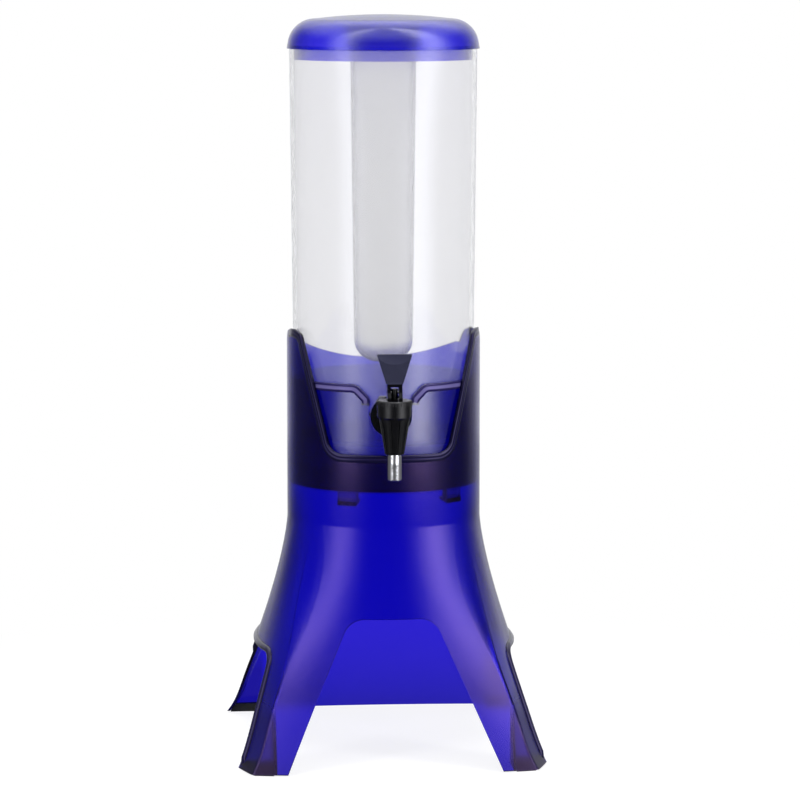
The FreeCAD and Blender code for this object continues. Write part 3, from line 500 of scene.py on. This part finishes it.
# %% Tap, washers, seals and pads
tap_black = solid("tap_black", (0.0012, 0.0012, 0.002), (0.003, 0.003, 0.0045), 0.2, mirror=0.35)
steel = solid("steel", (0.5, 0.5, 0.52), (0.6, 0.6, 0.62), 0.2, metal=1.0)
wear(["tap_body", "tap_bonnet", "shank_nut", "tap_stem"], tap_black)
wear(["tap_lever"], solid("lever_black", (0.019, 0.020, 0.040), (0.025, 0.026, 0.050), 0.4, 0.15,
                          gloss_below=PADDLE_FOOT, mirror=0.15))
wear(["spout_tube"], solid("spout_metal", (0.80, 0.80, 0.82), (0.86, 0.86, 0.88), 0.05, 0.05, 1.0))
wear(["return_spring", "lever_pin"], steel)
wear(["outer_washer", "foot_pads"], solid("rubber_black", (0.01, 0.01, 0.012), (0.018, 0.018, 0.02), 0.55))
wear(["inner_washer", "stem_seal", "seat_cup", "ice_tube_seal"],
     solid("silicone", (0.72, 0.72, 0.7), (0.8, 0.8, 0.78), 0.4))

# %% [markdown]
# ## Lips and rims
# The stand has a rolled lip round the tap's bay and round each side arch, and the cup has a
# rim each side of the tap. A lip stiffens the edge, hides where the tool closes, and looks
# nearly black, because the light has to cross a thick bead of blue. A bevelled curve would
# float off the shell wherever the shell bends. So a ray is cast onto the shell's outside for
# each point of the lip: the opening's outline gives where to aim, and a cross-section gives
# how far the lip stands out.

# %% Outlines
ROUNDING_STEPS, OUTLINE_STEP = 10, 1.0


def spaced(points, step):
    """The same path as evenly spaced points."""
    lengths = [0.0]
    for before, after in zip(points, points[1:]):
        lengths.append(lengths[-1] + (after - before).length)
    count, even, part = round(lengths[-1] / step), [], 0
    for number in range(count + 1):
        at = lengths[-1] * number / count
        while part < len(points) - 2 and lengths[part + 1] < at:
            part += 1
        share = (at - lengths[part]) / max(lengths[part + 1] - lengths[part], 1e-9)
        even.append(points[part].lerp(points[part + 1], share))
    return even


def outline(*corners):
    """A path through corners (across, up, radius), each one rounded, in millimetres."""
    path = [Vector(corners[0][:2])]
    for before, corner, after in zip(corners, corners[1:], corners[2:]):
        spot = Vector(corner[:2])
        back = (Vector(before[:2]) - spot).normalized()
        on = (Vector(after[:2]) - spot).normalized()
        turn = math.pi - back.angle(on)
        left = 1 if back.y * on.x - back.x * on.y > 0 else -1
        middle = spot + (back + on).normalized() * corner[2] / math.cos(turn / 2)
        arm = spot + back * corner[2] * math.tan(turn / 2) - middle
        path += [middle + Matrix.Rotation(left * turn * n / ROUNDING_STEPS, 2) @ arm
                 for n in range(ROUNDING_STEPS + 1)]
    return spaced(path + [Vector(corners[-1][:2])], OUTLINE_STEP)


def wrapped(path, radius):
    """The same path with the distance across as an arc's length round the axis."""
    return [Vector((radius * math.asin(p.x / radius), p.y)) for p in path]


def mirrored(half):
    """The whole of a path from its left half."""
    return half + [Vector((-p.x, p.y)) for p in reversed(half)]


# %% Rays onto a shell
AXIS_REACH, SIDE_REACH = 0.09, 0.13        # metres from the tower's middle
shells = {}


def onto(node, start, direction):
    """Where a ray meets a CAD node's near side, and the way that faces."""
    if node not in shells:
        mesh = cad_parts[node].data
        shells[node] = BVHTree.FromPolygons([v.co for v in mesh.vertices],
                                            [tuple(p.vertices) for p in mesh.polygons])
    spot, facing, _, _ = shells[node].ray_cast(start, direction, AXIS_REACH)
    if facing and facing.dot(direction) > 0:
        facing = -facing
    return spot, facing


def round_axis(radius):
    """Aim at the tower's axis; the distance across is an arc's length at a radius in mm."""
    def aim(spot):
        turn = 1000 * spot.x / radius
        outwards = Vector((math.sin(turn), -math.cos(turn), 0))
        return outwards * AXIS_REACH + Vector((0, 0, spot.y)), -outwards
    return aim


def from_side(side):
    """Aim across the tower from one side; the distance across is along Y."""
    return lambda spot: (Vector((side * SIDE_REACH, spot.x, spot.y)), Vector((-side, 0, 0)))


# %% [markdown]
# ## Sweeping a lip
# A lip is a ring of points repeated along its path. Each ring lies across the path on the
# shell's surface. The rings thin out towards the lip's two ends, so that it runs into the
# shell. The distance across the lip is kept as an attribute, so that its finish, with its painted highlight
# band, can follow it.

# %% Rings to mesh


def sweep_mesh(name, rings, across):
    """A mesh through rings of points, with the distance across each ring as an attribute."""
    width, last, faces = len(across), len(rings) * len(across), []
    for a in range(0, last - width, width):
        faces += [(a + i, a + (i + 1) % width, a + width + (i + 1) % width, a + width + i)
                  for i in range(width)]
    faces += [tuple(range(width - 1, -1, -1)), tuple(range(last - width, last))]
    mesh = bpy.data.meshes.new(name)
    mesh.from_pydata([p for ring in rings for p in ring], [], faces)
    shape = bmesh.new()
    shape.from_mesh(mesh)
    bmesh.ops.recalc_face_normals(shape, faces=shape.faces)
    shape.to_mesh(mesh)
    shape.free()
    layer = mesh.attributes.new("across", "FLOAT", "POINT")
    for number in range(len(mesh.vertices)):
        layer.data[number].value = across[number % width]
    mesh.shade_smooth()
    return mesh


def finished(name, mesh, material, body):
    """Put a new piece in the scene: one object, riding a body."""
    piece = bpy.data.objects.new(name, mesh)
    scene.collection.objects.link(piece)
    mesh.materials.append(material)
    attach(piece, body)
    print(name, len(mesh.vertices), "points")
    return piece


# %% A lip along a path
RING_STEP = 1.2                      # all in millimetres
NEAREST_GRIP, NEXT_GRIPS = 0.7, (1.5, 2.5, 3.5)
SUNK = -0.3                          # a lip's ends sink this far under the surface


def landed(name, node, aim, spots):
    """How deep the first ray that meets the node goes, and the way the surface faces."""
    for spot in spots:
        start, direction = aim(spot / 1000)
        hit, facing = onto(node, start, direction)
        if hit:
            return (hit - start).length, facing
    raise ValueError(f"{name} misses {node} at {tuple(spots[0])}")


def lip(name, node, path, aim, profile, material, fade=6.0):
    """Sweep a cross-section (distance from the opening, height) along a path on a node. A
    point that lies over the opening takes its depth from the shell beside it."""
    path = spaced(path, RING_STEP)
    last, rings = len(path) - 1, []
    for number, here in enumerate(path):
        ahead = (path[min(number + 1, last)] - path[max(number - 1, 0)]).normalized()
        off = Vector((ahead.y, -ahead.x))
        ends = min(1.0, RING_STEP * min(number, last - number) / fade)
        ring = []
        for away, out in profile:
            spots = [here + off * grip for grip in (max(away, NEAREST_GRIP), *NEXT_GRIPS)]
            deep, facing = landed(name, node, aim, spots)
            start, direction = aim((here + off * away) / 1000)
            height = SUNK + (out - SUNK) * ends if out > SUNK else out
            ring.append(start + direction * deep + facing * height / 1000)
        rings.append(ring)
    mesh = sweep_mesh(name, rings, [away for away, _ in profile])
    return finished(name, mesh, material, "stand")


# %% Bead finish, with a painted highlight
BEAD_ROUGHNESS, BEAD_SPREAD, BEAD_DRIFT = 0.12, 0.05, 1.3
# The paler band across a bead is a painted highlight.
HIGHLIGHT_EDGE = 0.3                      # millimetres over which the paler band comes in
BEAD_GLANCE = (0.35, 0.3, 0.6, 1)


def bead(name, dark, pale, start, end):
    """A glossy bead: dark, with a painted highlight, a paler band between two distances across it."""
    material, tree, output, here = new_material(name)
    rough, normal = skinned(tree, here, BEAD_ROUGHNESS, BEAD_SPREAD)
    across = put(tree, "ShaderNodeAttribute", {"attribute_name": "across"}).outputs["Fac"]
    # The painted highlight's band across the bead.
    highlight_band = maths(tree, "MULTIPLY", ramp(tree, across, start - HIGHLIGHT_EDGE, start + HIGHLIGHT_EDGE),
                   ramp(tree, across, end - HIGHLIGHT_EDGE, end + HIGHLIGHT_EDGE, 1.0, 0.0))
    tone = blended(tree, highlight_band, drift(tree, here, dark, [BEAD_DRIFT * c for c in dark]), pale)
    surface = put(tree, "ShaderNodeBsdfPrincipled", Base__Color=tone, Roughness=rough,
                  Normal=normal, Specular__Tint=BEAD_GLANCE)
    tree.links.new(surface.outputs[0], output.inputs["Surface"])
    return material


# %% [markdown]
# ## The bay's lip
# The lip of the tap's bay runs down the inside of one horn, under the tap and up the other
# horn. It is one sweep, made from half an outline and its mirror image. It begins a little
# way over each horn's top and thins out there.

# %% Bay lip
COLLAR = 68.7                        # the collar's radius, in millimetres
bay_half = [Vector((-103.5, 298.0))] + wrapped(
    outline((-67.2, 299.6), (-61.8, 300.3, 6), (-41.6, 215.9, 10), (0, 215.9)), COLLAR)
bay_lip = [(-0.4, -2.0), (-0.4, 0.4), (0.2, 0.75), (1.0, 0.85), (1.9, 0.8), (2.3, 0.6), (2.8, 0.75),
           (3.6, 0.75), (4.4, 0.6), (5.0, 0.3), (5.2, -0.3), (5.0, -0.5), (0.3, -0.5), (0.3, -2.0)]
# The lip's paler band, 1.9 to 2.7 mm across, is a painted highlight.
lip_blue = bead("lip_blue", (0.003, 0.0025, 0.018), (0.014, 0.011, 0.05), 1.9, 2.7)
lip("bay_lip", "base_shell", mirrored(bay_half), round_axis(COLLAR), bay_lip, lip_blue,
    fade=14.0)

# %% [markdown]
# ## The cup's rims
# Each side of the tap the cup ends in a rim that steps down towards the tap. The two rims are
# one outline and its mirror image. A mirrored mesh would be turned inside out, so the outline
# is mirrored instead, and the right one also runs the other way.

# %% Cup rims
CUP = 66.2                           # the cup's radius, in millimetres
cup_half = outline((-53.5, 265), (-24, 265, 8), (-15.1, 256.1, 3), (-15.1, 251))
cup_rim = [(0.3, -1.7), (-0.35, -1.6), (-0.35, 0.1), (0.3, 0.5), (1.2, 0.25), (2.0, 0.15), (3.0, 0.45),
           (4.0, 0.5), (4.8, 0.3), (5.3, 0.0), (5.4, -0.3), (5.2, -0.5), (0.3, -0.5)]
# The rim's paler band, 1.3 to 3.7 mm across, is a painted highlight.
rim_blue = bead("rim_blue", (0.012, 0.009, 0.06), (0.11, 0.095, 0.26), 1.3, 3.7)
for side, title in ((-1, "left"), (1, "right")):
    half = [Vector((-side * p.x, p.y)) for p in wrapped(cup_half, CUP)]
    lip(f"{title}_cup_rim", "cradle_cup", half if side < 0 else half[::-1], round_axis(CUP), cup_rim,
        rim_blue, fade=3.0)

# %% [markdown]
# ## The side arches' lips
# The arch between the feet has a thick lip at each side of the stand. It runs from part of the
# way up the rear foot, over the arch, to the toe of the front foot. The sides are flat enough
# to aim at straight across the tower, so this path needs no wrapping.

# %% Arch lips
arch_lip = [(-0.5, -1.8), (-0.5, 0.9), (0.2, 1.7), (1.4, 2.0), (2.8, 1.6), (3.8, 0.6), (4.2, -0.3),
            (4.0, -0.6), (0.3, -0.6), (0.3, -1.8)]
side_arch = outline((66, 51), (50, 74, 16), (-50, 74, 16), (-86, 2.0))
for side, title in ((-1, "left"), (1, "right")):
    lip(f"{title}_arch_lip", "base_shell", side_arch, from_side(side), arch_lip, lip_blue)

# %% [markdown]
# ## Grip ribs round the bonnet
# The tap's bonnet is screwed off by hand to clean the tap, so its brim has fine upright ribs.
# They could be cut in the solid, but so many small faces slow a CAD step down. They repeat
# evenly round a circle, so Geometry Nodes places them: one rib is made, put on every point of
# a circle and turned to face outwards.

# %% Rib tree
RIB_SIDES = 10


def rib_tree(material):
    """A node tree that stands ribs round a circle, with a length, a radius and a count."""
    tree = bpy.data.node_groups.new("grip_ribs", "GeometryNodeTree")
    tree.interface.new_socket("Geometry", in_out="OUTPUT", socket_type="NodeSocketGeometry")
    sockets = {}
    for title, kind in (("Count", "NodeSocketInt"), ("Radius", "NodeSocketFloat"),
                        ("Length", "NodeSocketFloat"), ("Thickness", "NodeSocketFloat")):
        sockets[title] = tree.interface.new_socket(title, in_out="INPUT", socket_type=kind).identifier
    given = tree.nodes.new("NodeGroupInput").outputs
    ring = put(tree, "GeometryNodeMeshCircle", Vertices=given["Count"], Radius=given["Radius"])
    top = put(tree, "ShaderNodeCombineXYZ", Z=given["Length"])
    line = put(tree, "GeometryNodeCurvePrimitiveLine", End=top.outputs[0])
    section = put(tree, "GeometryNodeCurvePrimitiveCircle", Resolution=RIB_SIDES, Radius=given["Thickness"])
    rib = put(tree, "GeometryNodeCurveToMesh", Curve=line.outputs[0], Profile__Curve=section.outputs[0],
              Fill__Caps=True)
    number = tree.nodes.new("GeometryNodeInputIndex").outputs[0]
    turn = maths(tree, "DIVIDE", maths(tree, "MULTIPLY", number, 2 * math.pi), given["Count"])
    facing = put(tree, "ShaderNodeCombineXYZ", Z=turn)
    ribs = put(tree, "GeometryNodeInstanceOnPoints", Points=ring.outputs[0], Instance=rib.outputs[0],
               Rotation=facing.outputs[0])
    real = put(tree, "GeometryNodeRealizeInstances", Geometry=ribs.outputs[0])
    dressed = put(tree, "GeometryNodeSetMaterial", Geometry=real.outputs[0], Material=material)
    put(tree, "NodeGroupOutput", Geometry=dressed.outputs[0])
    return tree, sockets


# %% From node tree to plain mesh


def grown(name, tree, values):
    """Run a node tree on an empty mesh and keep what it makes as a plain mesh."""
    seed = bpy.data.objects.new(name, bpy.data.meshes.new(name + "_seed"))
    scene.collection.objects.link(seed)
    modifier = seed.modifiers.new(name, "NODES")
    modifier.node_group = tree
    for identifier, value in values.items():
        modifier[identifier] = value
    bpy.context.view_layer.update()
    evaluated = seed.evaluated_get(bpy.context.evaluated_depsgraph_get())
    mesh = bpy.data.meshes.new_from_object(evaluated)
    seed.modifiers.remove(modifier)
    bpy.data.objects.remove(seed)
    return mesh


# %% Ribs on the bonnet
TAP_AXIS_Y, BRIM_RADIUS, BRIM_FOOT, BRIM_TOP = -0.09803, 0.0121, 0.2555, 0.2584
RIBS, RIB_RADIUS, RIB_SUNK = 40, 0.0004, 0.00015

tree, sockets = rib_tree(tap_black)
mesh = grown("grip_ribs", tree, {sockets["Count"]: RIBS, sockets["Radius"]: BRIM_RADIUS - RIB_SUNK,
                                 sockets["Length"]: BRIM_TOP - BRIM_FOOT,
                                 sockets["Thickness"]: RIB_RADIUS})
mesh.transform(Matrix.Translation((0, TAP_AXIS_Y, BRIM_FOOT)))
mesh.materials.clear()
mesh.name = "bonnet_ribs"
finished("bonnet_ribs", mesh, tap_black, "tank")

# %% [markdown]
# ## Return spring
# Inside the tap a coil spring pushes the stem down, and it shortens as the lever lifts the
# stem. The frame's own spring is one rigid solid, so a copy of its mesh stands for it. The
# copy stays rigid and rides the tank, which suits a piece that stays hidden. Bones or a
# helix made with Geometry Nodes could make it shorten, for more work.

# %% Return spring
STEM_RISE, SPRING_TOP, SAME_POINT = 0.0044, 0.25525, 1e-6

work = bmesh.new()
work.from_mesh(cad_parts["return_spring"].data)
bmesh.ops.remove_doubles(work, verts=work.verts, dist=SAME_POINT)
mesh = bpy.data.meshes.new("shortening_spring")
work.to_mesh(mesh)
work.free()
mesh.transform(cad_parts["return_spring"].matrix_world)
mesh.materials.clear()
spring = finished("shortening_spring", mesh, steel, "tank")
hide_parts("return_spring")
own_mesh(spring)
